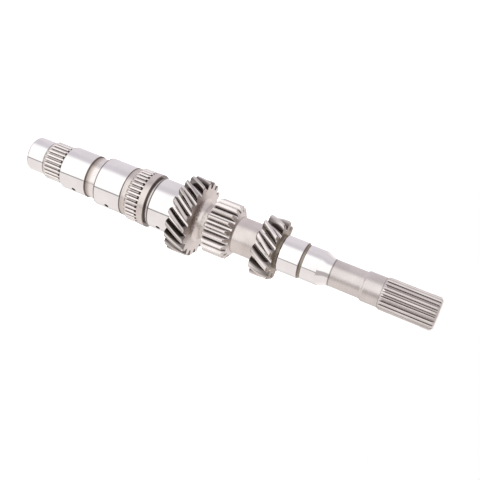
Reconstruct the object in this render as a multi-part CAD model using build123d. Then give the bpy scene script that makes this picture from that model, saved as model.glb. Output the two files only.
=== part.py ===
from build123d import *
import math
import os

# Transmission input shaft: one forging, turned, hobbed, drilled and ground.
# Sizes are in millimetres and angles in degrees. The shaft stands on its rear
# end, with its axis on Z, the origin in the rear end face and the clutch end up.

# Lengths along the axis, in order from the rear end
rear_journal_length = 16.4
rear_spline_length = 17.6
fifth_journal_length = 24.1
long_groove_length = 9.6
fourth_journal_length = 24.4
undercut_length = 1.6
spline_land_length = 2.9
middle_spline_length = 12.2
collar_length = 5.6
ring_groove_length = 2.3
third_journal_length = 21.7
second_gear_width = 16.4
shoulder_length = 10.1
reverse_gear_width = 21.7
neck_length = 19.2
first_gear_width = 15.8
first_gear_relief = 2.3
front_journal_length = 17.1
front_groove_length = 1.8
seal_journal_length = 11.9
taper_length = 9.8
front_neck_length = 23.1
step_length = 2.6
pilot_length = 12.2
clutch_spline_length = 42.0

# Diameters of the turned and ground stretches
rear_journal_d = 28.0
fifth_journal_d = 34.8
long_groove_d = 33.2
fourth_journal_d = 39.2
undercut_d = 37.8
spline_land_d = 39.6
collar_d = 43.2
ring_groove_d = 38.4
third_journal_d = 40.0
shoulder_d = 28.2
neck_d = 28.6
first_gear_relief_d = 27.0
front_journal_d = 28.2
front_groove_d = 26.0
seal_journal_d = 26.6
front_neck_d = 20.7
pilot_d = 23.1

# Edges and corners
rear_end_chamfer = 1.2
edge_chamfer = 0.5
journal_lead_chamfer = 1.0
shoulder_corner_r = 4.4

# Splines: 30 degree pressure angle, straight flanks and a flat root
rear_spline_d = 31.2
rear_spline_teeth = 26
rear_spline_turn = 10.9
middle_spline_d = 42.6
middle_spline_teeth = 35
middle_spline_turn = 4.9
clutch_spline_d = 25.0
clutch_spline_teeth = 19
clutch_spline_turn = 4.0
spline_pressure = 30.0
spline_addendum = 0.5
spline_dedendum = 0.72
hub_runout_angle = 45.0
clutch_runout_angle = 30.0
spline_lead_chamfer = 1.2
clutch_spline_entry = 2.0
clutch_end_chamfer = 2.0
gap_overcut = 0.4

# Gears: involute teeth. The module is normal to the tooth. The outer diameter
# follows from it and the number of teeth. The shift moves the teeth outwards
# and thickens them, in modules. The relief is the share of the depth below the
# flank, and the flare is how far a tooth widens there for each millimetre down.
gear_pressure = 20.0
gear_addendum = 1.0
gear_dedendum = 1.25
root_relief = 0.15
root_flare = 0.4
second_gear_teeth = 19
second_gear_module = 2.45
second_gear_helix = 33.0
second_gear_shift = 0.12
second_gear_turn = -8.9
reverse_gear_teeth = 19
reverse_gear_module = 2.0
reverse_gear_shift = 0.35
reverse_gear_turn = 11.0
reverse_entry_length = 4.2
reverse_entry_lip = 0.7
first_gear_teeth = 11
first_gear_module = 3.0
first_gear_helix = 33.0
first_gear_shift = 0.33
first_gear_turn = -6.9
tooth_end_chamfer = 0.8
tooth_entry_chamfer = 1.3

# Oil gallery from the rear end, radial oil holes and the clutch end's centre
gallery_d = 9.0
gallery_mouth_d = 11.0
gallery_past_hole = 4.0
drill_point_angle = 118.0
oil_hole_d = 3.6
oil_hole_angle = -24.5
fifth_oil_hole_rise = 13.2
fourth_oil_hole_rise = 11.9
third_oil_hole_rise = 10.0
centre_d = 6.0
centre_drill_d = 2.5
centre_drill_depth = 7.0
centre_angle = 60.0

# Heights of the stretches above the rear end face
rear_spline_z = rear_journal_length
fifth_journal_z = rear_spline_z + rear_spline_length
long_groove_z = fifth_journal_z + fifth_journal_length
fourth_journal_z = long_groove_z + long_groove_length
undercut_z = fourth_journal_z + fourth_journal_length
spline_land_z = undercut_z + undercut_length
middle_spline_z = spline_land_z + spline_land_length
collar_z = middle_spline_z + middle_spline_length
ring_groove_z = collar_z + collar_length
third_journal_z = ring_groove_z + ring_groove_length
second_gear_z = third_journal_z + third_journal_length
shoulder_z = second_gear_z + second_gear_width
reverse_gear_z = shoulder_z + shoulder_length
neck_z = reverse_gear_z + reverse_gear_width
first_gear_z = neck_z + neck_length
first_gear_relief_z = first_gear_z + first_gear_width
front_journal_z = first_gear_relief_z + first_gear_relief
front_groove_z = front_journal_z + front_journal_length
seal_journal_z = front_groove_z + front_groove_length
taper_z = seal_journal_z + seal_journal_length
front_neck_z = taper_z + taper_length
step_z = front_neck_z + front_neck_length
pilot_z = step_z + step_length
clutch_spline_z = pilot_z + pilot_length
clutch_end_z = clutch_spline_z + clutch_spline_length

# Heights of the oil holes, each from the rear edge of its journal
fifth_oil_hole_z = fifth_journal_z + fifth_oil_hole_rise
fourth_oil_hole_z = fourth_journal_z + fourth_oil_hole_rise
third_oil_hole_z = third_journal_z + third_oil_hole_rise


def polar(radius, angle):
    # A point from a radius and an angle in radians.
    return (radius * math.cos(angle), radius * math.sin(angle))


def involute(pressure):
    # The involute function of a pressure angle in radians.
    return math.tan(pressure) - pressure


class ToothForm:
    # The radii of one ring of teeth and the width of a tooth at any radius. The
    # share is the part of the pitch that a tooth takes at the pitch circle.
    def __init__(self, teeth, pitch_r, tip_r, root_r, pressure, share):
        self.teeth = teeth
        self.tip_r = tip_r
        self.root_r = root_r
        self.pitch_r = pitch_r
        self.base_r = pitch_r * math.cos(pressure)
        self.half_tooth = math.pi / teeth * share + involute(pressure)

    def half_angle(self, radius):
        # Half the angle that a tooth takes at a radius.
        return self.half_tooth - involute(math.acos(self.base_r / radius))

    def flank(self, middle, side):
        # Four points up one side of a tooth, on side 1 or -1 of its middle
        # angle: the foot, then three on the involute. The involute starts clear
        # of the root and no lower than the base circle, and below it the tooth
        # widens to its foot.
        low_r = max(self.base_r, self.root_r + root_relief * (self.tip_r - self.root_r))
        widening = root_flare * (low_r - self.root_r) / self.root_r
        points = [polar(self.root_r, middle + side * (self.half_angle(low_r) + widening))]
        for r in (low_r, (low_r + self.tip_r) / 2, self.tip_r):
            points.append(polar(r, middle + side * self.half_angle(r)))
        return points


def gear_form(teeth, module, helix, shift):
    helix_rad = math.radians(helix)
    pressure = math.atan(math.tan(math.radians(gear_pressure)) / math.cos(helix_rad))
    pitch_r = teeth * module / math.cos(helix_rad) / 2
    tip_r = pitch_r + (gear_addendum + shift) * module
    root_r = pitch_r - (gear_dedendum - shift) * module
    share = 0.5 + 2 * shift * math.tan(pressure) / math.pi
    return ToothForm(teeth, pitch_r, tip_r, root_r, pressure, share)


def spline_form(teeth, outer_d):
    # The module follows from the outer diameter and the number of teeth.
    module = outer_d / (teeth + 2 * spline_addendum)
    pitch_r = teeth * module / 2
    root_r = pitch_r - spline_dedendum * module
    return ToothForm(teeth, pitch_r, outer_d / 2, root_r, math.radians(spline_pressure), 0.5)


rear_spline = spline_form(rear_spline_teeth, rear_spline_d)
middle_spline = spline_form(middle_spline_teeth, middle_spline_d)
clutch_spline = spline_form(clutch_spline_teeth, clutch_spline_d)
second_gear = gear_form(
    second_gear_teeth, second_gear_module, second_gear_helix, second_gear_shift
)
reverse_gear = gear_form(reverse_gear_teeth, reverse_gear_module, 0, reverse_gear_shift)
first_gear = gear_form(first_gear_teeth, first_gear_module, first_gear_helix, first_gear_shift)


def stretch(diameter, low_z, high_z, low_chamfer=0.0, high_chamfer=0.0):
    # Outline of one straight stretch, as radius and height pairs.
    r = diameter / 2
    points = [(r, low_z + low_chamfer), (r, high_z - high_chamfer)]
    if low_chamfer:
        points.insert(0, (r - low_chamfer, low_z))
    if high_chamfer:
        points.append((r - high_chamfer, high_z))
    return points


def half_section(points):
    # The face between an outline and the axis, ready to be revolved. The
    # outline may end on the axis.
    closed = [(0, points[0][1])] + points
    if points[-1][0]:
        closed.append((0, points[-1][1]))
    return Plane.XZ * make_face(Polyline(*closed, close=True))


def turned_body():
    # Everything that the lathe and the grinder leave. The gear teeth are added
    # to it later, and the gaps of the splines are cut into it. Two curves join
    # its straight stretches: the hollow corner in front of the second gear, and
    # the S-shaped taper from the seal journal down to the front neck.
    edge = edge_chamfer
    lead = spline_lead_chamfer
    rear = stretch(rear_journal_d, 0, rear_spline_z, rear_end_chamfer)
    rear += stretch(rear_spline_d, rear_spline_z, fifth_journal_z, lead)
    rear += stretch(fifth_journal_d, fifth_journal_z, long_groove_z, journal_lead_chamfer, edge)
    rear += stretch(long_groove_d, long_groove_z, fourth_journal_z)
    rear += stretch(fourth_journal_d, fourth_journal_z, undercut_z, edge, edge)
    rear += stretch(undercut_d, undercut_z, spline_land_z)
    rear += stretch(spline_land_d, spline_land_z, middle_spline_z)
    rear += stretch(middle_spline_d, middle_spline_z, collar_z, lead)
    rear += stretch(collar_d, collar_z, ring_groove_z, 0, edge)
    rear += stretch(ring_groove_d, ring_groove_z, third_journal_z)
    rear += stretch(third_journal_d, third_journal_z, second_gear_z, edge)
    rear += stretch(shoulder_d + 2 * shoulder_corner_r, second_gear_z, shoulder_z)
    middle = stretch(shoulder_d, shoulder_z + shoulder_corner_r, reverse_gear_z)
    middle += stretch(neck_d, reverse_gear_z, first_gear_z)
    middle += stretch(first_gear_relief_d, first_gear_z, front_journal_z)
    middle += stretch(front_journal_d, front_journal_z, front_groove_z, edge, edge)
    middle += stretch(front_groove_d, front_groove_z, seal_journal_z)
    middle += stretch(seal_journal_d, seal_journal_z, taper_z, edge)
    front = stretch(front_neck_d, front_neck_z, step_z)
    front += stretch(pilot_d, pilot_z, clutch_spline_z)
    entry_z = clutch_spline_z + clutch_spline_entry
    front += stretch(clutch_spline_d, entry_z, clutch_end_z, 0, clutch_end_chamfer)
    section = make_face(
        [
            Polyline((0, 0), *rear),
            Spline(rear[-1], middle[0], tangents=((-1, 0), (0, 1))),
            Polyline(*middle),
            Spline(middle[-1], front[0], tangents=((0, 1), (0, 1))),
            Polyline(*front, (0, clutch_end_z)),
            Line((0, clutch_end_z), (0, 0)),
        ]
    )
    return revolve(Plane.XZ * section, Axis.Z)


def end_cutter(tip_r, end_z, inward, cone):
    # The ring that is turned off one end of a gear. A cone is a length and a
    # drop in radius, and inward is 1 or -1, the way from this end into the gear.
    length, drop = cone
    profile = Polyline(
        (tip_r - drop * (1 + gap_overcut / length), end_z - inward * gap_overcut),
        (tip_r + gap_overcut, end_z - inward * gap_overcut),
        (tip_r + gap_overcut, end_z + inward * length * (1 + gap_overcut / drop)),
        close=True,
    )
    return revolve(Plane.XZ * make_face(profile), Axis.Z)


def gear(form, width, helix, turn, low_z, low_cone, high_cone):
    # One ring of gear teeth with its core, twisted along its helix and turned
    # back at both ends.
    edges = []
    for tooth in range(form.teeth):
        middle = 2 * math.pi / form.teeth * tooth
        next_middle = 2 * math.pi / form.teeth * (tooth + 1)
        rising = form.flank(middle, -1)
        falling = form.flank(middle, 1)[::-1]
        gap_middle = polar(form.root_r, (middle + next_middle) / 2)
        edges.append(Line(rising[0], rising[1]))
        edges.append(ThreePointArc(*rising[1:]))
        edges.append(ThreePointArc(rising[-1], polar(form.tip_r, middle), falling[0]))
        edges.append(ThreePointArc(*falling[:3]))
        edges.append(Line(falling[2], falling[3]))
        edges.append(ThreePointArc(falling[-1], gap_middle, form.flank(next_middle, -1)[0]))
    section = Face(Wire(edges))
    twist = math.degrees(width * math.tan(math.radians(helix)) / form.pitch_r)
    if twist:
        ring = Solid.extrude_linear_with_rotation(section, (0, 0, 0), (0, 0, width), twist)
    else:
        ring = extrude(section, width)
    ring -= end_cutter(form.tip_r, 0, 1, low_cone)
    ring -= end_cutter(form.tip_r, width, -1, high_cone)
    return Pos(0, 0, low_z) * Rot(0, 0, turn) * ring


def spline_gaps(form, turn, low_z, wall_z, runout_angle):
    # The gaps between the teeth of a spline, as cutters. Each has straight
    # flanks and a flat root, starts at one height, and its root rises out of
    # the bar on a ramp that ends at the other.
    gap_half = math.pi / form.teeth
    over_r = form.tip_r + gap_overcut
    over_x, over_y = polar(over_r, gap_half - form.half_angle(over_r))
    root_x, root_y = polar(form.root_r, gap_half - form.half_angle(form.root_r))
    apex_x = root_x - root_y * (over_x - root_x) / (over_y - root_y)
    wedge = make_face(Polyline((apex_x, 0), (over_x, over_y), (over_x, -over_y), close=True))
    flanks = extrude(Pos(0, 0, low_z) * wedge, wall_z - low_z, dir=(0, 0, 1))

    ramp = (over_x - root_x) / math.tan(math.radians(runout_angle))
    start_z = wall_z - math.copysign(ramp, wall_z - low_z)
    side_view = make_face(
        Polyline(
            (over_x, low_z), (root_x, low_z), (root_x, start_z), (over_x, wall_z), close=True
        )
    )
    cutter = flanks & extrude(Plane.XZ * side_view, over_y, both=True)
    pitch = 360 / form.teeth
    return [Rot(0, 0, turn + pitch * tooth) * cutter for tooth in range(form.teeth)]


def oil_drillings():
    # The gallery up from the rear end, with its mouth and drill point, and the
    # radial hole of each running journal.
    mouth_depth = (gallery_mouth_d - gallery_d) / 2 / math.tan(math.radians(centre_angle / 2))
    top_z = third_oil_hole_z + gallery_past_hole
    point_height = gallery_d / 2 / math.tan(math.radians(drill_point_angle / 2))
    gallery = half_section(
        [
            (gallery_mouth_d / 2, 0),
            (gallery_d / 2, mouth_depth),
            (gallery_d / 2, top_z),
            (0, top_z + point_height),
        ]
    )
    cuts = [revolve(gallery, Axis.Z)]
    for hole_z, journal_d in (
        (fifth_oil_hole_z, fifth_journal_d),
        (fourth_oil_hole_z, fourth_journal_d),
        (third_oil_hole_z, third_journal_d),
    ):
        reach = journal_d / 2 + gap_overcut
        hole = Cylinder(oil_hole_d / 2, reach, align=(Align.CENTER, Align.CENTER, Align.MIN))
        cuts.append(Rot(0, 0, oil_hole_angle) * Pos(0, 0, hole_z) * Rot(0, 90, 0) * hole)
    return cuts


def clutch_end_centre():
    # The lathe centre in the clutch end: a cone with a pilot drilling.
    cone_depth = (centre_d - centre_drill_d) / 2 / math.tan(math.radians(centre_angle / 2))
    centre = half_section(
        [
            (centre_drill_d / 2, clutch_end_z - centre_drill_depth),
            (centre_drill_d / 2, clutch_end_z - cone_depth),
            (centre_d / 2, clutch_end_z),
        ]
    )
    return revolve(centre, Axis.Z)


small_cone = (tooth_end_chamfer, tooth_end_chamfer)
lead_cone = (tooth_entry_chamfer, tooth_entry_chamfer)
reverse_cone = (reverse_entry_length, reverse_gear.tip_r - neck_d / 2 - reverse_entry_lip)

shaft = turned_body()
shaft += gear(
    second_gear, second_gear_width, second_gear_helix, second_gear_turn, second_gear_z,
    small_cone, lead_cone,
)
shaft += gear(
    reverse_gear, reverse_gear_width, 0, reverse_gear_turn, reverse_gear_z,
    small_cone, reverse_cone,
)
shaft += gear(
    first_gear, first_gear_width, first_gear_helix, first_gear_turn, first_gear_z,
    small_cone, lead_cone,
)
shaft -= spline_gaps(
    rear_spline, rear_spline_turn, rear_spline_z - gap_overcut, fifth_journal_z, hub_runout_angle
)
shaft -= spline_gaps(
    middle_spline, middle_spline_turn, middle_spline_z - gap_overcut, collar_z, hub_runout_angle
)
shaft -= spline_gaps(
    clutch_spline, clutch_spline_turn, clutch_end_z + gap_overcut, clutch_spline_z,
    clutch_runout_angle,
)
shaft -= oil_drillings()
shaft -= clutch_end_centre()

os.makedirs("parts", exist_ok=True)
export_step(shaft, "parts/input_shaft.step")
print("volume cm3", shaft.volume / 1000, "solids", len(shaft.solids()), "valid", shaft.is_valid)
print("centre of mass", shaft.center(CenterOf.MASS), "height", clutch_end_z)
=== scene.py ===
import math

import bmesh
import bpy
from mathutils import Matrix, Vector


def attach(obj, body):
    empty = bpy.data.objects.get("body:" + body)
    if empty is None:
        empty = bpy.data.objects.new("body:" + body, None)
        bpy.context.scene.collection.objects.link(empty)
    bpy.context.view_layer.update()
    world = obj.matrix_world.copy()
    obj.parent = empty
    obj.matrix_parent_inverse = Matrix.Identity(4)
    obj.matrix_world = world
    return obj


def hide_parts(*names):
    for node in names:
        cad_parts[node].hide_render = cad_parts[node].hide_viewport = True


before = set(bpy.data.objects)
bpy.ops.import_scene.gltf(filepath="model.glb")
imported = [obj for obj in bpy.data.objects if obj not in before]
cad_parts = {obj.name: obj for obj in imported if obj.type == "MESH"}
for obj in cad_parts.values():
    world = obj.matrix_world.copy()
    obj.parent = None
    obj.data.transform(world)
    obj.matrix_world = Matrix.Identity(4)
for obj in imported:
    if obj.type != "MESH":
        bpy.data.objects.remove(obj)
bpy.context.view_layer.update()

# Lengths are in millimetres until a mesh is finished. The shaft's axis is Z,
# from the rear end at 0 up to the clutch end.
toMetres = 0.001
toMillimetres = 1000.0
# Points closer than weld are merged, and a line whose ends differ less than level is level.
weld = 0.0005
level = 0.0001
smoothBelow = math.radians(28)


# Small helpers for the node trees

def newGroup(name, inputs, outputs):
    group = bpy.data.node_groups.new(name, "ShaderNodeTree")
    for label, kind, value in inputs:
        socket = group.interface.new_socket(name=label, in_out="INPUT", socket_type=kind)
        if value is not None:
            socket.default_value = value
    for label, kind in outputs:
        group.interface.new_socket(name=label, in_out="OUTPUT", socket_type=kind)
    return group, group.nodes.new("NodeGroupInput"), group.nodes.new("NodeGroupOutput")


def feed(tree, socket, value):
    if isinstance(value, bpy.types.NodeSocket):
        tree.links.new(value, socket)
    else:
        socket.default_value = value


def mathNode(tree, operation, *values):
    node = tree.nodes.new("ShaderNodeMath")
    node.operation = operation
    for socket, value in zip(node.inputs, values):
        feed(tree, socket, value)
    return node.outputs[0]


def vectorNode(tree, operation, *values):
    node = tree.nodes.new("ShaderNodeVectorMath")
    node.operation = operation
    for socket, value in zip(node.inputs, values):
        feed(tree, socket, value)
    return node.outputs[0]


def noiseNode(tree, vector, scale, detail, roughness):
    node = tree.nodes.new("ShaderNodeTexNoise")
    node.inputs["Scale"].default_value = scale
    node.inputs["Detail"].default_value = detail
    node.inputs["Roughness"].default_value = roughness
    tree.links.new(vector, node.inputs["Vector"])
    return node.outputs["Fac"]


def stretchNode(tree, value, fromLow, fromHigh, toLow=0.0, toHigh=1.0):
    node = tree.nodes.new("ShaderNodeMapRange")
    node.interpolation_type = "SMOOTHSTEP"
    numbers = {"From Min": fromLow, "From Max": fromHigh, "To Min": toLow, "To Max": toHigh}
    for label, number in numbers.items():
        feed(tree, node.inputs[label], number)
    feed(tree, node.inputs["Value"], value)
    return node.outputs["Result"]


def mixColour(tree, factor, first, second):
    node = tree.nodes.new("ShaderNodeMix")
    node.data_type = "RGBA"
    feed(tree, node.inputs[0], factor)
    feed(tree, node.inputs[6], first)
    feed(tree, node.inputs[7], second)
    return node.outputs[2]


def groupNode(tree, group, **values):
    node = tree.nodes.new("ShaderNodeGroup")
    node.node_tree = group
    for label, value in values.items():
        feed(tree, node.inputs[label], value)
    return node


# Shared effects

effectValues = {
    "markDetail": 3.0, "markRoughness": 0.6, "markFrom": 0.52, "markTo": 0.72,
    "patchDetail": 5.0, "patchRoughness": 0.55, "patchFrom": 0.35, "patchTo": 0.68,
    "speckleScale": 40.0, "speckleDetail": 3.0, "speckleRoughness": 0.7,
    "markWear": 0.5, "speckleWear": 0.5, "speckleHeight": 0.6, "bumpDistance": 0.00005,
}


def makePlaceGroup():
    # How far from the axis, how high and how far back, in millimetres.
    group, enter, leave = newGroup(
        "shaftPlace", [("Vector", "NodeSocketVector", None)],
        [("Radius", "NodeSocketFloat"), ("Height", "NodeSocketFloat"),
         ("Depth", "NodeSocketFloat")])
    split = group.nodes.new("ShaderNodeSeparateXYZ")
    group.links.new(enter.outputs["Vector"], split.inputs[0])
    across = mathNode(group, "POWER", split.outputs["X"], 2.0)
    deep = mathNode(group, "POWER", split.outputs["Y"], 2.0)
    radius = mathNode(group, "SQRT", mathNode(group, "ADD", across, deep))
    measures = {"Radius": radius, "Height": split.outputs["Z"], "Depth": split.outputs["Y"]}
    for label, measure in measures.items():
        group.links.new(
            mathNode(group, "MULTIPLY", measure, toMillimetres), leave.inputs[label])
    return group


def makeLatheGroup():
    # Fine marks that run round the shaft.
    v = effectValues
    group, enter, leave = newGroup(
        "latheMarks",
        [("Vector", "NodeSocketVector", None), ("Fineness", "NodeSocketFloat", 3000.0),
         ("Waver", "NodeSocketFloat", 60.0)],
        [("Height", "NodeSocketFloat"), ("Mask", "NodeSocketFloat")])
    combine = group.nodes.new("ShaderNodeCombineXYZ")
    group.links.new(enter.outputs["Waver"], combine.inputs["X"])
    group.links.new(enter.outputs["Waver"], combine.inputs["Y"])
    group.links.new(enter.outputs["Fineness"], combine.inputs["Z"])
    stretched = vectorNode(group, "MULTIPLY", enter.outputs["Vector"], combine.outputs[0])
    marks = noiseNode(group, stretched, 1.0, v["markDetail"], v["markRoughness"])
    group.links.new(marks, leave.inputs["Height"])
    group.links.new(stretchNode(group, marks, v["markFrom"], v["markTo"]), leave.inputs["Mask"])
    return group


def makeMottleGroup():
    # Soft patches, as oil and heat leave them, with fine speckle.
    v = effectValues
    group, enter, leave = newGroup(
        "mottle",
        [("Vector", "NodeSocketVector", None), ("Scale", "NodeSocketFloat", 60.0)],
        [("Patches", "NodeSocketFloat"), ("Speckle", "NodeSocketFloat")])
    scaled = group.nodes.new("ShaderNodeVectorMath")
    scaled.operation = "SCALE"
    group.links.new(enter.outputs["Vector"], scaled.inputs[0])
    group.links.new(enter.outputs["Scale"], scaled.inputs["Scale"])
    patches = noiseNode(group, scaled.outputs[0], 1.0, v["patchDetail"], v["patchRoughness"])
    speckle = noiseNode(
        group, scaled.outputs[0], v["speckleScale"], v["speckleDetail"], v["speckleRoughness"])
    soft = stretchNode(group, patches, v["patchFrom"], v["patchTo"])
    group.links.new(soft, leave.inputs["Patches"])
    group.links.new(speckle, leave.inputs["Speckle"])
    return group


def makeBandGroup():
    # 1 between two values and 0 outside them, with soft ends.
    group, enter, leave = newGroup(
        "softBand",
        [("Value", "NodeSocketFloat", 0.0), ("Low", "NodeSocketFloat", 0.0),
         ("High", "NodeSocketFloat", 1.0), ("LowSoft", "NodeSocketFloat", 0.2),
         ("HighSoft", "NodeSocketFloat", 0.2)],
        [("Mask", "NodeSocketFloat")])
    lowEnd = mathNode(group, "ADD", enter.outputs["Low"], enter.outputs["LowSoft"])
    highEnd = mathNode(group, "SUBTRACT", enter.outputs["High"], enter.outputs["HighSoft"])
    rising = stretchNode(group, enter.outputs["Value"], enter.outputs["Low"], lowEnd)
    falling = stretchNode(
        group, enter.outputs["Value"], highEnd, enter.outputs["High"], 1.0, 0.0)
    group.links.new(mathNode(group, "MULTIPLY", rising, falling), leave.inputs["Mask"])
    return group


placeGroup = makePlaceGroup()
latheGroup = makeLatheGroup()
mottleGroup = makeMottleGroup()
bandGroup = makeBandGroup()
print("shader groups made")


# Materials

groundFinish = {
    "colour": (0.80, 0.785, 0.79, 1), "patchColour": (0.75, 0.73, 0.73, 1),
    "roughness": 0.07, "markRoughness": 0.15, "fineness": 5200.0, "bump": 0.02,
}
satinFinish = {
    "colour": (0.66, 0.605, 0.585, 1), "patchColour": (0.57, 0.515, 0.495, 1),
    "roughness": 0.26, "markRoughness": 0.38, "fineness": 2600.0, "bump": 0.10,
}
mattFinish = {
    "colour": (0.645, 0.60, 0.585, 1), "patchColour": (0.575, 0.53, 0.515, 1),
    "roughness": 0.26, "markRoughness": 0.33, "fineness": 1500.0, "bump": 0.02,
}
hubFinish = {
    "colour": (0.80, 0.76, 0.745, 1), "patchColour": (0.71, 0.665, 0.65, 1),
    "roughness": 0.20, "markRoughness": 0.30, "fineness": 2600.0, "bump": 0.06,
}
# Painted shade: the chamfers and the rear-facing faces of the spline leads are coloured dark.
chamferPaintedShade = {
    "colour": (0.26, 0.225, 0.205, 1), "patchColour": (0.19, 0.16, 0.145, 1),
    "roughness": 0.35, "markRoughness": 0.45, "fineness": 1800.0, "bump": 0.10,
}
# Painted shade: a dark brown colour for the undercut grooves and the first gear's end faces.
reliefPaintedShade = {
    "colour": (0.33, 0.285, 0.24, 1), "patchColour": (0.24, 0.20, 0.165, 1),
    "roughness": 0.40, "markRoughness": 0.50, "fineness": 1800.0, "bump": 0.15,
}
faceFinish = {
    "colour": (0.61, 0.57, 0.555, 1), "patchColour": (0.54, 0.50, 0.485, 1),
    "roughness": 0.34, "markRoughness": 0.46, "fineness": 900.0, "bump": 0.10,
}
# Painted shade: a near-black colour for the flat walls of the steps, the oil holes and the spline
# pits, where shade falls.
recessPaintedShade = {
    "colour": (0.10, 0.08, 0.07, 1), "patchColour": (0.055, 0.042, 0.036, 1),
    "roughness": 0.45, "markRoughness": 0.6, "fineness": 1800.0, "bump": 0.2,
}
hobbedFinish = {
    "colour": (0.76, 0.715, 0.70, 1), "patchColour": (0.64, 0.595, 0.575, 1),
    "roughness": 0.16, "markRoughness": 0.28, "fineness": 900.0, "bump": 0.05,
}
# Painted shade: a near-black colour for the flanks of the gear teeth.
toothFlankPaintedShade = (0.07, 0.056, 0.048, 1)
# Painted shade: a dark line at corners and ends of journals.
paintedShadeLine = (0.12, 0.105, 0.10, 1)
tipColour = (0.42, 0.385, 0.37, 1)
# Painted shade: the gaps and flanks of the splines are darkened.
splineGapPaintedShade = (0.33, 0.295, 0.28, 1)
splineFlankPaintedShade = (0.12, 0.10, 0.092, 1)
# Painted shade at the left end of the long groove.
groovePaintedShade = (0.33, 0.26, 0.22, 1)
# Painted shade for the near side of the gears' faces.
nearFacePaintedShade = (0.41, 0.35, 0.315, 1)


def steelMaterial(name, finish, bands):
    v = effectValues
    material = bpy.data.materials.new(name)
    material.use_nodes = True
    tree = material.node_tree
    shader = tree.nodes["Principled BSDF"]
    shader.inputs["Metallic"].default_value = 1.0
    where = tree.nodes.new("ShaderNodeTexCoord").outputs["Object"]
    place = groupNode(tree, placeGroup, Vector=where)
    marks = groupNode(tree, latheGroup, Vector=where, Fineness=finish["fineness"])
    mottle = groupNode(tree, mottleGroup, Vector=where)
    colour = mixColour(tree, mottle.outputs["Patches"], finish["colour"], finish["patchColour"])
    # Most bands mix painted shade into the colour.
    for measure, low, high, lowSoft, highSoft, bandColour, strength in bands:
        band = groupNode(
            tree, bandGroup, Value=place.outputs[measure], Low=low, High=high,
            LowSoft=lowSoft, HighSoft=highSoft)
        amount = mathNode(tree, "MULTIPLY", band.outputs["Mask"], strength)
        colour = mixColour(tree, amount, colour, bandColour)
    tree.links.new(colour, shader.inputs["Base Color"])
    speckleWear = mathNode(tree, "MULTIPLY", mottle.outputs["Speckle"], v["speckleWear"])
    markWear = mathNode(tree, "MULTIPLY", marks.outputs["Mask"], v["markWear"])
    wear = mathNode(tree, "ADD", markWear, speckleWear)
    rough = stretchNode(tree, wear, 0.0, 1.0, finish["roughness"], finish["markRoughness"])
    tree.links.new(rough, shader.inputs["Roughness"])
    speckle = mathNode(tree, "MULTIPLY", mottle.outputs["Speckle"], v["speckleHeight"])
    height = mathNode(tree, "ADD", marks.outputs["Height"], speckle)
    bump = tree.nodes.new("ShaderNodeBump")
    bump.inputs["Strength"].default_value = finish["bump"]
    bump.inputs["Distance"].default_value = v["bumpDistance"]
    tree.links.new(height, bump.inputs["Height"])
    tree.links.new(bump.outputs["Normal"], shader.inputs["Normal"])
    return material


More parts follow.
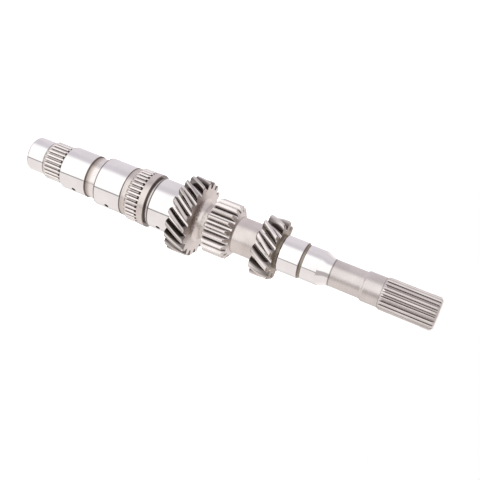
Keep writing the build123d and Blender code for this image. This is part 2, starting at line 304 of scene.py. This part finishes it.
# Each look is a material's name, its finish and its bands. A band is
# (measure, low, high, soft low end, soft high end, colour, strength). Most bands are painted shade:
# dark lines at corners, dark flanks and gaps of teeth, and a darker near side on the gear faces.
steelLooks = {
    "ground": ("groundSteel", groundFinish, [
        # Painted shade lines at the ends of the journals.
        ("Height", 15.2, 16.6, 0.2, 0.1, paintedShadeLine, 0.6),
        ("Height", 67.7, 69.0, 0.1, 0.2, paintedShadeLine, 0.8),
        ("Height", 116.7, 118.0, 0.1, 0.2, paintedShadeLine, 0.9),
    ]),
    "satin": ("turnedSteel", satinFinish, [
        ("Height", 114.2, 115.7, 0.1, 0.5, paintedShadeLine, 0.9),
    ]),
    "groove": ("grooveSteel", hubFinish, [
        # Painted shade at the groove's left end, darkest in a line.
        ("Height", 56.0, 63.5, 1.0, 4.5, groovePaintedShade, 0.85),
        ("Height", 57.5, 59.3, 0.1, 0.7, paintedShadeLine, 0.8),
    ]),
    "wall": ("collarWallSteel", hubFinish, [
        ("Radius", 19.0, 21.8, 0.2, 0.1, paintedShadeLine, 0.9),
    ]),
    "matt": ("brushedSteel", mattFinish, [
        ("Height", 263.5, 264.7, 0.3, 0.4, paintedShadeLine, 0.6),
    ]),
    "face": ("gearFaceSteel", faceFinish, [
        # Painted shade: the face is darker on its near side.
        ("Depth", -60.0, -6.0, 1.0, 16.0, nearFacePaintedShade, 0.8),
    ]),
    "recess": ("recessShadeSteel", recessPaintedShade, []),
    "edge": ("chamferShadeSteel", chamferPaintedShade, []),
    "relief": ("reliefShadeSteel", reliefPaintedShade, []),
    "secondGear": ("secondGearSteel", hobbedFinish, [
        # Painted shade on the tooth flanks, darkest towards the root.
        ("Radius", 25.2, 30.4, 0.6, 1.3, toothFlankPaintedShade, 0.85),
        ("Radius", 30.42, 31.5, 0.05, 0.1, tipColour, 0.8),
    ]),
    "reverseGear": ("reverseGearSteel", hobbedFinish, [
        ("Radius", 17.2, 20.6, 0.3, 2.6, toothFlankPaintedShade, 0.75),
    ]),
    "firstGear": ("firstGearSteel", hobbedFinish, [
        ("Radius", 17.2, 23.6, 0.8, 3.0, toothFlankPaintedShade, 0.8),
    ]),
    # Painted shade in the spline gaps, darkest on the flanks.
    "hubSplineRear": ("rearSplineSteel", hubFinish, [
        ("Radius", 10.0, 15.1, 0.5, 0.7, splineGapPaintedShade, 0.8),
        ("Radius", 14.22, 15.1, 0.2, 0.6, splineFlankPaintedShade, 0.9),
    ]),
    "hubSplineMiddle": ("middleSplineSteel", hubFinish, [
        ("Radius", 15.0, 20.8, 0.5, 0.7, splineGapPaintedShade, 0.8),
        ("Radius", 19.88, 20.8, 0.2, 0.6, splineFlankPaintedShade, 0.9),
    ]),
    "clutchSpline": ("clutchSplineSteel", mattFinish, [
        ("Radius", 8.0, 11.9, 0.5, 0.6, splineGapPaintedShade, 0.8),
        ("Radius", 11.0, 11.9, 0.2, 0.6, splineFlankPaintedShade, 0.9),
    ]),
}
shaftMaterials = {slot: steelMaterial(*look) for slot, look in steelLooks.items()}
slotNames = list(shaftMaterials)
print("materials made", len(slotNames))


# The turned body. Each stretch is (low, high, diameter, low chamfer, high chamfer, finish),
# and a smooth curve joins two stretches where there is room between them. The relief finish of the
# undercuts is painted shade.

bodyValues = {
    "stretches": [
        (0.0, 16.4, 28.0, 1.2, 0.0, "ground"),
        (16.4, 34.0, 27.0, 0.0, 0.0, "satin"),
        (34.0, 58.1, 34.8, 1.0, 0.5, "ground"),
        (58.1, 67.7, 33.2, 0.0, 0.0, "groove"),
        (67.7, 92.1, 39.2, 0.5, 0.7, "ground"),
        (92.1, 93.7, 37.8, 0.0, 0.0, "satin"),
        (93.7, 96.6, 39.6, 0.0, 0.0, "satin"),
        (96.6, 108.8, 38.6, 0.0, 0.0, "satin"),
        (108.8, 114.4, 43.2, 0.0, 0.5, "satin"),
        (114.4, 116.7, 38.4, 0.0, 0.0, "satin"),
        (116.7, 138.4, 40.0, 0.5, 0.0, "ground"),
        (138.4, 154.8, 37.0, 0.0, 0.0, "face"),
        (159.2, 164.9, 28.2, 0.0, 0.0, "satin"),
        (164.9, 205.8, 28.6, 0.2, 0.0, "satin"),
        (205.8, 223.9, 27.0, 0.0, 0.0, "relief"),
        (223.9, 241.0, 28.2, 0.6, 0.5, "ground"),
        (241.0, 242.8, 26.0, 0.0, 0.0, "relief"),
        (242.8, 254.7, 26.6, 0.3, 0.0, "ground"),
        (264.5, 287.6, 20.7, 0.0, 0.0, "matt"),
        (290.2, 302.4, 23.1, 0.0, 0.0, "matt"),
        (302.4, 330.0, 20.6, 0.0, 0.0, "matt"),
    ],
    "around": 144, "edgeRound": 0.12, "cornerAngle": 0.6, "cornerFromR": 2,
    "curvePoints": 9, "endLoop": 0.4, "hollowTop": 159.2,
    "galleryD": 9.0, "mouthD": 11.0, "galleryTop": 130.7, "pointAngle": 118.0,
    "mouthConeAngle": 60.0,
    "oilHoleD": 3.6, "oilHoleAngle": -24.5, "oilHoleHeights": (47.2, 79.6, 126.7),
    "drillSides": 48, "drillLength": 26.0, "drillMiddleR": 15.0,
    # Where the finish changes, and how far along the axis a face has to look.
    "places": {
        "stepsFrom": 1, "stepsTo": 230, "gearFace": 154.8, "collarFace": 114.4,
        "taperLow": 254.7, "groundTaperEnd": 263.6, "taperHigh": 264.5, "neckHigh": 164.9,
        "mattFrom": 200, "boreR": 9.5, "rearEnd": 0.05, "near": 0.5,
        "squareFacing": 0.9, "edgeFacing": 0.3,
    },
}


def curveBetween(low, high, lowSlope, highSlope, count):
    # Points inside a smooth curve between two (radius, height) pairs.
    reach = math.hypot(high[0] - low[0], high[1] - low[1])
    points = []
    for step in range(1, count):
        t = step / count
        startShare = 2 * t**3 - 3 * t**2 + 1
        endShare = 1 - startShare
        startPull = (t**3 - 2 * t**2 + t) * reach
        endPull = (t**3 - t**2) * reach
        points.append(tuple(
            startShare * low[i] + endShare * high[i]
            + startPull * lowSlope[i] + endPull * highSlope[i]
            for i in range(2)))
    return points


def bodyOutline():
    values = bodyValues
    tanCone = math.tan(math.radians(values["mouthConeAngle"] / 2))
    tanPoint = math.tan(math.radians(values["pointAngle"] / 2))
    galleryR = values["galleryD"] / 2
    mouthR = values["mouthD"] / 2
    points = [
        (0.0, values["galleryTop"] + galleryR / tanPoint),
        (galleryR, values["galleryTop"]),
        (galleryR, (mouthR - galleryR) / tanCone),
        (mouthR, 0.0),
    ]
    last = None
    for low, high, diameter, lowChamfer, highChamfer, _ in values["stretches"]:
        r = diameter / 2
        if last and low - last[1] > 0.01:
            # The hollow corner starts inwards, from the gear's face.
            lowSlope = (-1, 0) if low == values["hollowTop"] else (0, 1)
            points += curveBetween(last, (r, low), lowSlope, (0, 1), values["curvePoints"])
        if lowChamfer:
            points.append((r - lowChamfer, low))
        # Loops close to both ends keep the shading flat between them.
        straightLow = low + lowChamfer
        straightHigh = high - highChamfer
        points.append((r, straightLow))
        if straightHigh - straightLow > 3 * values["endLoop"]:
            points.append((r, straightLow + values["endLoop"]))
            points.append((r, straightHigh - values["endLoop"]))
        points.append((r, straightHigh))
        if highChamfer:
            points.append((r - highChamfer, high))
        last = points[-1]
    points.append((0.0, values["stretches"][-1][1]))
    return points


def finishAt(radius, height, normal):
    # The finish of a face of the body, by where it is and which way it looks. The flat walls of the
    # steps get the recess look and the chamfers the chamfer look, both dark as painted shade.
    places = bodyValues["places"]
    facing = abs(normal.z)
    if facing > places["squareFacing"] and places["stepsFrom"] < height < places["stepsTo"]:
        if abs(height - places["gearFace"]) < places["near"]:
            return "face"
        return "wall" if abs(height - places["collarFace"]) < places["near"] else "recess"
    if places["taperLow"] <= height <= places["groundTaperEnd"]:
        return "ground"
    if places["groundTaperEnd"] < height < places["taperHigh"]:
        return "matt"
    if height < places["rearEnd"] or radius < places["boreR"]:
        return "satin"
    atNeck = places["gearFace"] < height < places["neckHigh"]
    if facing > places["edgeFacing"] and height < places["taperLow"] and not atNeck:
        return "edge"
    for low, high, _, _, _, finish in bodyValues["stretches"]:
        if low <= height <= high:
            return finish
    return "satin" if height < places["mattFrom"] else "matt"


def makeBody():
    bm = bmesh.new()
    chain = [bm.verts.new((r, 0, z)) for r, z in bodyOutline()]
    edges = [bm.edges.new(pair) for pair in zip(chain, chain[1:])]
    bmesh.ops.spin(
        bm, geom=chain + edges, cent=(0, 0, 0), axis=(0, 0, 1), angle=2 * math.pi,
        steps=bodyValues["around"], use_merge=True)
    bmesh.ops.remove_doubles(bm, verts=bm.verts, dist=weld)
    bmesh.ops.recalc_face_normals(bm, faces=bm.faces)
    corners = [e for e in bm.edges if e.is_manifold
               and e.calc_face_angle(0) > bodyValues["cornerAngle"]
               and abs(e.verts[0].co.z - e.verts[1].co.z) < level
               and min(v.co.xy.length for v in e.verts) > bodyValues["cornerFromR"]]
    bmesh.ops.bevel(
        bm, geom=corners, offset=bodyValues["edgeRound"], affect="EDGES", segments=2,
        profile=0.5, material=-1, clamp_overlap=True)
    for face in bm.faces:
        centre = face.calc_center_median()
        finish = finishAt(centre.xy.length, centre.z, face.normal)
        face.material_index = slotNames.index(finish)
    return bm


# Rings of teeth

toothValues = {
    "gears": {
        "secondGear": {
            "teeth": 19, "module": 2.45, "helix": 33.0, "shift": 0.12, "turn": -8.9,
            "low": 138.4, "width": 16.4, "lowCone": (0.8, 0.8), "highCone": (1.3, 1.3), "loops": 16,
        },
        "reverseGear": {
            "teeth": 19, "module": 2.0, "helix": 0.0, "shift": 0.35, "turn": 11.0,
            "low": 164.9, "width": 21.7, "lowCone": (0.8, 0.8), "highCone": (4.2, 6.7), "loops": 12,
        },
        "firstGear": {
            "teeth": 11, "module": 3.0, "helix": 33.0, "shift": 0.33, "turn": -6.9,
            "low": 205.8, "width": 15.8, "lowCone": (0.8, 0.8), "highCone": (1.3, 1.3), "loops": 16,
        },
    },
    "splines": {
        "hubSplineRear": {
            "teeth": 26, "outerD": 31.2, "turn": 10.9, "low": 16.4, "width": 17.6,
            "lowCone": (1.2, 1.2), "highCone": (0, 0), "rampEnd": "high", "ramp": 1.6,
        },
        "hubSplineMiddle": {
            "teeth": 35, "outerD": 42.6, "turn": 4.9, "low": 96.6, "width": 12.2,
            "lowCone": (1.2, 1.2), "highCone": (0, 0), "rampEnd": "high", "ramp": 1.7,
        },
        "clutchSpline": {
            "teeth": 19, "outerD": 25.0, "turn": 4.0, "low": 302.4, "width": 42.0,
            "lowCone": (2.0, 0.95), "highCone": (2.0, 2.0), "rampEnd": "low", "ramp": 3.3,
        },
    },
    # Rises and spreads are shares of the way from one outline point to the next.
    "pressure": 20.0, "addendum": 1.0, "dedendum": 1.25, "relief": 0.15, "flare": 0.4,
    "splinePressure": 30.0, "splineAddendum": 0.5, "splineDedendum": 0.72,
    "splineRelief": 0.12, "splineLoops": 2, "thickness": 0.5,
    "gapSpread": 0.35, "footSpread": 0.45, "footRise": 0.3,
    "tipRound": 0.18, "tipRise": 0.3, "tipSpread": 0.25, "flankPoints": 6, "tipPoints": 3,
    "coneShares": (0.25, 0.5, 0.75, 1.0), "coneRoom": 1.05,
    "rampSteps": 5, "pitLength": 2.4, "pitDrop": 0.12, "leadLength": 2.2,
    "centreHole": {"mouthD": 6.0, "pilotD": 2.5, "pilotDepth": 7.0, "coneAngle": 60.0},
    # How far along the axis a face has to look to count as one of these.
    "facing": {
        "gearEnd": 0.6, "secondGearEnd": 0.98, "splineEnd": 0.98, "lead": 0.3, "runOut": 0.15,
    },
}


def involute(angle):
    return math.tan(angle) - angle


def halfTooth(pitchR, tipR, rootR, pressure, teeth, share, flankR):
    # Radius and angle pairs from the middle of a gap up one flank to the tooth's middle,
    # with the angle measured from the tooth's middle.
    v = toothValues
    baseR = pitchR * math.cos(pressure)
    gapAngle = math.pi / teeth

    def half(r):
        rolled = math.acos(min(1, baseR / r))
        return gapAngle * share + involute(pressure) - involute(rolled)

    steps = v["flankPoints"]
    tipRound = v["tipRound"]
    footAngle = half(flankR) + v["flare"] * (flankR - rootR) / rootR
    points = [
        (rootR, gapAngle),
        (rootR, footAngle + (gapAngle - footAngle) * v["gapSpread"]),
        (rootR + v["footRise"] * (flankR - rootR),
         half(flankR) + (footAngle - half(flankR)) * v["footSpread"]),
    ]
    for step in range(steps):
        r = flankR + (tipR - tipRound - flankR) * step / (steps - 1)
        points.append((r, half(r)))
    tipHalf = half(tipR) - tipRound / tipR
    points.append((
        tipR - tipRound * v["tipRise"], half(tipR) - v["tipSpread"] * tipRound / tipR))
    for step in range(v["tipPoints"]):
        points.append((tipR, tipHalf * (1 - step / v["tipPoints"])))
    return points


def turnAll(bm, verts, angle, axis):
    bmesh.ops.rotate(bm, verts=verts, cent=(0, 0, 0), matrix=Matrix.Rotation(angle, 3, axis))


def toothRing(points, teeth, turn, loops):
    # loops is a list of (height, twist, highest radius, lowest radius). One tooth's outline
    # is spun round the axis, closed, and drawn up through the loops.
    bm = bmesh.new()
    outline = [(r, -angle) for r, angle in points] + [(points[-1][0], 0.0)]
    outline += [(r, angle) for r, angle in reversed(points)]
    chain = [bm.verts.new((r * math.cos(a), r * math.sin(a), 0)) for r, a in outline]
    edges = [bm.edges.new(pair) for pair in zip(chain, chain[1:])]
    bmesh.ops.spin(
        bm, geom=chain + edges, cent=(0, 0, 0), axis=(0, 0, 1), angle=2 * math.pi,
        steps=teeth, use_duplicate=True)
    bmesh.ops.remove_doubles(bm, verts=bm.verts, dist=4 * weld)
    turnAll(bm, bm.verts, math.radians(turn), "Z")
    ring = list(bm.edges)
    bmesh.ops.contextual_create(bm, geom=ring)
    height, lastTwist, highest, lowest = loops[0]
    bmesh.ops.translate(bm, verts=bm.verts, vec=(0, 0, height))
    levels = [(list(bm.verts), highest, lowest)]
    for nextHeight, nextTwist, highest, lowest in loops[1:]:
        grown = bmesh.ops.extrude_edge_only(bm, edges=ring)["geom"]
        verts = [g for g in grown if isinstance(g, bmesh.types.BMVert)]
        ring = [g for g in grown if isinstance(g, bmesh.types.BMEdge)]
        bmesh.ops.translate(bm, verts=verts, vec=(0, 0, nextHeight - height))
        turnAll(bm, verts, nextTwist - lastTwist, "Z")
        levels.append((verts, highest, lowest))
        height, lastTwist = nextHeight, nextTwist
    bmesh.ops.contextual_create(bm, geom=ring)
    for verts, highest, lowest in levels:
        for vert in verts:
            radius = vert.co.xy.length
            wanted = max(min(radius, highest), lowest)
            vert.co.xy *= wanted / radius
    bmesh.ops.remove_doubles(bm, verts=bm.verts, dist=weld)
    bmesh.ops.recalc_face_normals(bm, faces=bm.faces)
    return bm


def coneRadius(value, tipR, height):
    # The radius that the end chamfers leave at a height above the ring's low end.
    lowLength, lowDrop = value["lowCone"]
    highLength, highDrop = value["highCone"]
    fromTop = value["width"] - height
    radius = tipR
    if lowLength and height < lowLength:
        radius = min(radius, tipR - lowDrop * (1 - height / lowLength))
    if highLength and fromTop < highLength:
        radius = min(radius, tipR - highDrop * (1 - fromTop / highLength))
    return radius


def ringHeights(value, loops):
    # Heights of the loops: even ones, with more of them where an end is turned back.
    width = value["width"]
    heights = {round(width * step / loops, 4) for step in range(loops + 1)}
    for length, place in ((value["lowCone"][0], 0), (value["highCone"][0], width)):
        if length:
            side = 1 if place == 0 else -1
            room = length * toothValues["coneRoom"]
            heights = {h for h in heights if h == place or abs(h - place) > room}
            shares = toothValues["coneShares"]
            heights |= {round(place + side * length * share, 4) for share in shares}
    return sorted(heights)


def makeGear(name):
    v = toothValues
    value = v["gears"][name]
    helix = math.radians(value["helix"])
    pressure = math.atan(math.tan(math.radians(v["pressure"])) / math.cos(helix))
    pitchR = value["teeth"] * value["module"] / math.cos(helix) / 2
    tipR = pitchR + (v["addendum"] + value["shift"]) * value["module"]
    rootR = pitchR - (v["dedendum"] - value["shift"]) * value["module"]
    share = v["thickness"] + 2 * value["shift"] * math.tan(pressure) / math.pi
    flankR = max(pitchR * math.cos(pressure), rootR + v["relief"] * (tipR - rootR))
    points = halfTooth(pitchR, tipR, rootR, pressure, value["teeth"], share, flankR)
    loops = [
        (value["low"] + h, h * math.tan(helix) / pitchR, coneRadius(value, tipR, h), 0.0)
        for h in ringHeights(value, value["loops"])]
    bm = toothRing(points, value["teeth"], value["turn"], loops)
    endFacing = v["facing"]["secondGearEnd" if name == "secondGear" else "gearEnd"]
    # The first gear's end faces take the relief look, dark as painted shade; the other gears' end
    # faces take the gear face look with its painted shade on the near side.
    endFinish = "relief" if name == "firstGear" else "face"
    for face in bm.faces:
        finish = endFinish if face.normal.z > endFacing else name
        face.material_index = slotNames.index(finish)
    return bm


def centreHoleLoops(top):
    # The centre hole in the clutch end: a flat ring, a cone and a small blind bore.
    hole = toothValues["centreHole"]
    mouthR = hole["mouthD"] / 2
    pilotR = hole["pilotD"] / 2
    coneDepth = (mouthR - pilotR) / math.tan(math.radians(hole["coneAngle"] / 2))
    holeFloor = top - hole["pilotDepth"]
    return [
        (top, 0.0, mouthR, 0.0),
        (top - coneDepth, 0.0, pilotR, 0.0),
        (holeFloor, 0.0, pilotR, 0.0),
    ]


def splineFinish(name, atPit, atLead, facing):
    # The clutch spline's run-outs take the lighter, smoother groove steel, partly a painted
    # highlight, and its front end is as matt as the neck.
    # The hub splines have run-outs in the recess look, painted shade, and a turned lead whose
    # rear-facing faces take the chamfer look, painted shade too.
    limits = toothValues["facing"]
    if name == "clutchSpline":
        if facing > limits["runOut"]:
            return "groove" if atPit else "matt"
        return name
    if atPit and abs(facing) < limits["splineEnd"]:
        return "recess"
    if atLead:
        return "edge" if facing < -limits["lead"] else "satin"
    return name


def makeSpline(name):
    v = toothValues
    value = v["splines"][name]
    tipR = value["outerD"] / 2
    module = value["outerD"] / (value["teeth"] + 2 * v["splineAddendum"])
    pitchR = value["teeth"] * module / 2
    rootR = pitchR - v["splineDedendum"] * module
    pressure = math.radians(v["splinePressure"])
    flankR = rootR + v["splineRelief"] * (tipR - rootR)
    points = halfTooth(
        pitchR, tipR, rootR, pressure, value["teeth"], v["thickness"], flankR)
    width = value["width"]
    ramp = value["ramp"]
    steps = v["rampSteps"]
    heights = set(ringHeights(value, v["splineLoops"]))
    rampEnd = 0 if value["rampEnd"] == "low" else width
    side = 1 if rampEnd == 0 else -1
    heights |= {round(rampEnd + side * ramp * step / steps, 4) for step in range(steps + 1)}
    heights.add(round(rampEnd + side * v["pitLength"], 4))
    if rampEnd:
        heights.add(v["leadLength"])

    def floorRadius(h):
        share = 1 - min(1, abs(h - rampEnd) / ramp)
        return rootR + (tipR - rootR) * (1 - math.sqrt(1 - share**2))

    loops = []
    for h in sorted(heights):
        highest = coneRadius(value, tipR, h)
        loops.append((value["low"] + h, 0.0, highest, min(highest, floorRadius(h))))
    if name == "clutchSpline":
        loops += centreHoleLoops(value["low"] + width)
    bm = toothRing(points, value["teeth"], value["turn"], loops)
    pitR = tipR - v["pitDrop"]
    for face in bm.faces:
        centre = face.calc_center_median()
        atHeight = centre.z - value["low"]
        atPit = abs(atHeight - rampEnd) < v["pitLength"] and centre.xy.length < pitR
        finish = splineFinish(name, atPit, atHeight < v["leadLength"], face.normal.z)
        face.material_index = slotNames.index(finish)
    return bm


def gather(parts):
    # One mesh from several closed shells, in metres, with its sharp edges marked.
    whole = bmesh.new()
    for part in parts:
        mesh = bpy.data.meshes.new("shell")
        part.to_mesh(mesh)
        part.free()
        whole.from_mesh(mesh)
        bpy.data.meshes.remove(mesh)
    bmesh.ops.scale(whole, verts=whole.verts, vec=(toMetres,) * 3)
    for face in whole.faces:
        face.smooth = True
    for edge in whole.edges:
        edge.smooth = edge.is_manifold and edge.calc_face_angle(0) < smoothBelow
    return whole


def drillOilHoles(shaft):
    # The radial holes are cut from outside down to the gallery; their walls take the recess look,
    # dark as painted shade.
    values = bodyValues
    for height in values["oilHoleHeights"]:
        bm = bmesh.new()
        bmesh.ops.create_cone(
            bm, cap_ends=True, segments=values["drillSides"], radius1=values["oilHoleD"] / 2,
            radius2=values["oilHoleD"] / 2, depth=values["drillLength"])
        turnAll(bm, bm.verts, math.pi / 2, "Y")
        bmesh.ops.translate(bm, verts=bm.verts, vec=(values["drillMiddleR"], 0, height))
        turnAll(bm, bm.verts, math.radians(values["oilHoleAngle"]), "Z")
        bmesh.ops.scale(bm, verts=bm.verts, vec=(toMetres,) * 3)
        drill = finishedObject("drill", bm, [shaftMaterials["recess"]])
        cut = shaft.modifiers.new("oilHole", "BOOLEAN")
        cut.operation = "DIFFERENCE"
        cut.solver = "EXACT"
        cut.material_mode = "TRANSFER"
        cut.object = drill
        bpy.context.view_layer.update()
        graph = bpy.context.evaluated_depsgraph_get()
        drilled = bpy.data.meshes.new_from_object(shaft.evaluated_get(graph))
        shaft.modifiers.clear()
        shaft.data = drilled
        bpy.data.objects.remove(drill)


def finishedObject(name, bm, materials):
    mesh = bpy.data.meshes.new(name)
    bm.to_mesh(mesh)
    bm.free()
    for material in materials:
        mesh.materials.append(material)
    piece = bpy.data.objects.new(name, mesh)
    bpy.context.scene.collection.objects.link(piece)
    return piece


bodyPiece = finishedObject("inputShaft", gather([makeBody()]), shaftMaterials.values())
drillOilHoles(bodyPiece)
print("body turned and drilled", len(bodyPiece.data.polygons))
toothShells = [makeGear(name) for name in toothValues["gears"]]
toothShells += [makeSpline(name) for name in toothValues["splines"]]
toothPiece = finishedObject("toothRings", gather(toothShells), shaftMaterials.values())
print("gears and splines cut", len(toothPiece.data.polygons))
for piece in (bodyPiece, toothPiece):
    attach(piece, "root")
    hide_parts("input_shaft")


# Floor, light and background

studioValues = {
    "floorR": 9.0, "floorSides": 96, "floorColour": (0.93, 0.93, 0.93, 1),
    "floorGlow": 0.55, "boardGlow": 1.35, "farFrom": 1480.0, "farFull": 1620.0,
    "front": (1.0, 0.995, 0.99, 1), "edgeLine": (0.17, 0.165, 0.175, 1),
    "underside": (0.78, 0.745, 0.73, 1), "underEdge": (0.58, 0.55, 0.535, 1),
    "topSide": (0.66, 0.63, 0.66, 1), "topShade": (0.60, 0.575, 0.61, 1),
    "backLight": (0.86, 0.81, 0.795, 1),
    "highSky": (0.62, 0.585, 0.58, 1), "farLine": (0.45, 0.42, 0.41, 1),
    "skyLight": 0.75, "highFrom": 0.65, "highFull": 0.85, "stretchNear": 14.7,
}


def azimuthRamp(tree, vector, stops):
    # A colour for each direction round the shaft. Stops are (degrees, colour).
    gradient = tree.nodes.new("ShaderNodeTexGradient")
    gradient.gradient_type = "RADIAL"
    tree.links.new(vector, gradient.inputs["Vector"])
    ramp = tree.nodes.new("ShaderNodeValToRGB")
    ramp.color_ramp.interpolation = "EASE"
    tree.links.new(gradient.outputs["Fac"], ramp.inputs["Fac"])
    elements = ramp.color_ramp.elements
    while len(elements) < len(stops):
        elements.new(0.5)
    for element, (degrees, colour) in zip(elements, stops):
        element.position = degrees / 360 + 0.5
        element.color = colour
    return ramp.outputs["Color"]


def boardStops():
    v = studioValues
    return [
        (-180, v["topSide"]), (-158, v["topShade"]), (-150, v["topShade"]), (-128, v["front"]),
        (-52.5, v["front"]), (-49.5, v["edgeLine"]), (-48, v["edgeLine"]), (-45, v["underside"]),
        (20, v["underside"]), (75, v["underEdge"]), (110, v["topSide"]), (180, v["topSide"]),
    ]


def skyStops():
    v = studioValues
    return [
        (-180, v["topSide"]), (-158, v["topShade"]), (-150, v["topShade"]), (-128, v["front"]),
        (-72, v["front"]), (-64, v["farLine"]), (-38, v["farLine"]), (-30, v["underside"]),
        (20, v["underside"]), (45, v["backLight"]),
        (118, v["backLight"]), (160, v["topSide"]), (180, v["topSide"]),
    ]


def farStops():
    # Far off, the line between the light front and the underside is broad and soft.
    v = studioValues
    return [
        (-180, v["topSide"]), (-150, v["topShade"]), (-120, v["front"]), (-80, v["front"]),
        (-56, v["farLine"]), (-40, v["farLine"]), (-20, v["underside"]), (20, v["underside"]),
        (75, v["underEdge"]), (110, v["topSide"]), (180, v["topSide"]),
    ]


def makeFloor():
    bm = bmesh.new()
    v = studioValues
    bmesh.ops.create_circle(bm, cap_ends=True, radius=v["floorR"], segments=v["floorSides"])
    floor = finishedObject("floor", bm, [])
    material = bpy.data.materials.new("studioFloor")
    material.use_nodes = True
    tree = material.node_tree
    shader = tree.nodes["Principled BSDF"]
    shader.inputs["Roughness"].default_value = 0.9
    shader.inputs["Specular IOR Level"].default_value = 0.0
    shader.inputs["Base Color"].default_value = v["floorColour"]
    shader.inputs["Emission Color"].default_value = (1, 1, 1, 1)
    shader.inputs["Emission Strength"].default_value = v["floorGlow"]
    board = tree.nodes.new("ShaderNodeEmission")
    where = tree.nodes.new("ShaderNodeTexCoord").outputs["Object"]
    # The pattern is wider close to the shaft, so that its edges run straight to the rear end.
    place = groupNode(tree, placeGroup, Vector=where)
    nearness = mathNode(tree, "DIVIDE", v["stretchNear"], place.outputs["Radius"])
    wider = mathNode(tree, "ADD", mathNode(tree, "POWER", nearness, 2.0), 1.0)
    combine = tree.nodes.new("ShaderNodeCombineXYZ")
    combine.inputs["Y"].default_value = 1.0
    tree.links.new(wider, combine.inputs["X"])
    where = vectorNode(tree, "MULTIPLY", where, combine.outputs[0])
    board.inputs["Strength"].default_value = v["boardGlow"]
    near = azimuthRamp(tree, where, boardStops())
    far = azimuthRamp(tree, where, farStops())
    farShare = stretchNode(tree, place.outputs["Radius"], v["farFrom"], v["farFull"])
    tree.links.new(mixColour(tree, farShare, near, far), board.inputs["Color"])
    lightPath = tree.nodes.new("ShaderNodeLightPath")
    mix = tree.nodes.new("ShaderNodeMixShader")
    tree.links.new(lightPath.outputs["Is Glossy Ray"], mix.inputs[0])
    tree.links.new(shader.outputs[0], mix.inputs[1])
    tree.links.new(board.outputs[0], mix.inputs[2])
    tree.links.new(mix.outputs[0], tree.nodes["Material Output"].inputs["Surface"])
    floor.data.materials.append(material)


def makeSky():
    v = studioValues
    world = bpy.data.worlds.new("studio")
    bpy.context.scene.world = world
    world.use_nodes = True
    tree = world.node_tree
    ambient = tree.nodes["Background"]
    ambient.inputs["Color"].default_value = (1, 1, 1, 1)
    ambient.inputs["Strength"].default_value = v["skyLight"]
    direction = tree.nodes.new("ShaderNodeTexCoord").outputs["Generated"]
    split = tree.nodes.new("ShaderNodeSeparateXYZ")
    tree.links.new(direction, split.inputs[0])
    low = azimuthRamp(tree, direction, skyStops())
    high = stretchNode(tree, split.outputs["Z"], v["highFrom"], v["highFull"])
    seen = mixColour(tree, high, low, v["highSky"])
    mirrored = tree.nodes.new("ShaderNodeBackground")
    mirrored.inputs["Strength"].default_value = v["boardGlow"]
    tree.links.new(seen, mirrored.inputs["Color"])
    white = tree.nodes.new("ShaderNodeBackground")
    white.inputs["Color"].default_value = (1, 1, 1, 1)
    lightPath = tree.nodes.new("ShaderNodeLightPath")
    glossyMix = tree.nodes.new("ShaderNodeMixShader")
    tree.links.new(lightPath.outputs["Is Glossy Ray"], glossyMix.inputs[0])
    tree.links.new(ambient.outputs[0], glossyMix.inputs[1])
    tree.links.new(mirrored.outputs[0], glossyMix.inputs[2])
    cameraMix = tree.nodes.new("ShaderNodeMixShader")
    tree.links.new(lightPath.outputs["Is Camera Ray"], cameraMix.inputs[0])
    tree.links.new(glossyMix.outputs[0], cameraMix.inputs[1])
    tree.links.new(white.outputs[0], cameraMix.inputs[2])
    tree.links.new(cameraMix.outputs[0], tree.nodes["World Output"].inputs["Surface"])


lampValues = {
    "keyLamp": {"place": (-0.9, -0.9, 1.3), "size": 1.2, "power": 16.0},
    "fillLamp": {"place": (0.9, -0.5, 0.9), "size": 1.2, "power": 6.0},
}
lampAim = (0, 0, 0.17)


def makeLamp(name, value):
    data = bpy.data.lights.new(name, "AREA")
    data.energy = value["power"]
    data.size = value["size"]
    lamp = bpy.data.objects.new(name, data)
    bpy.context.scene.collection.objects.link(lamp)
    lamp.location = value["place"]
    lamp.visible_glossy = False
    aim = Vector(lampAim) - lamp.location
    lamp.rotation_euler = aim.to_track_quat("-Z", "Y").to_euler()


# The camera stands in front of the shaft and a little above its clutch end. It looks
# down and is rolled, so that the shaft lies across the picture with its clutch end low
# on the right. The axis passes the picture's middle at a distance of offCentre pixels.

cameraValues = {
    "lens": 59.42, "place": (0.0, -0.5761, 0.3571), "downTilt": 16.2414, "roll": 22.0729,
    "sensor": 36, "nearest": 0.01, "pixelLength": 792.26, "offCentre": -4.4917,
}


def makeCamera():
    v = cameraValues
    tilt = math.radians(v["downTilt"])
    roll = math.radians(v["roll"])
    alongPicture = Vector((math.cos(roll), math.sin(roll), 0))
    acrossPicture = Vector((-math.sin(roll), math.cos(roll), 0))
    forward = Vector((0, 0, 1))
    axis = alongPicture * math.cos(tilt) - forward * math.sin(tilt)
    middle = acrossPicture * (v["offCentre"] / v["pixelLength"]) + forward
    towards = (axis * middle.dot(axis) - middle).normalized()
    side = axis.cross(towards)
    world = Matrix((side, -towards, axis))
    right = world @ Vector((1, 0, 0))
    up = world @ Vector((0, -1, 0))
    back = world @ Vector((0, 0, -1))
    data = bpy.data.cameras.new("camera")
    data.lens = v["lens"]
    data.sensor_width = v["sensor"]
    data.clip_start = v["nearest"]
    camera = bpy.data.objects.new("camera", data)
    bpy.context.scene.collection.objects.link(camera)
    rows = [[right[i], up[i], back[i], v["place"][i]] for i in range(3)] + [[0, 0, 0, 1]]
    camera.matrix_world = Matrix(rows)
    bpy.context.scene.camera = camera


makeFloor()
makeSky()
for lampName, lampValue in lampValues.items():
    makeLamp(lampName, lampValue)
makeCamera()
bpy.context.scene.view_settings.view_transform = "Standard"
print("floor, light and camera set")
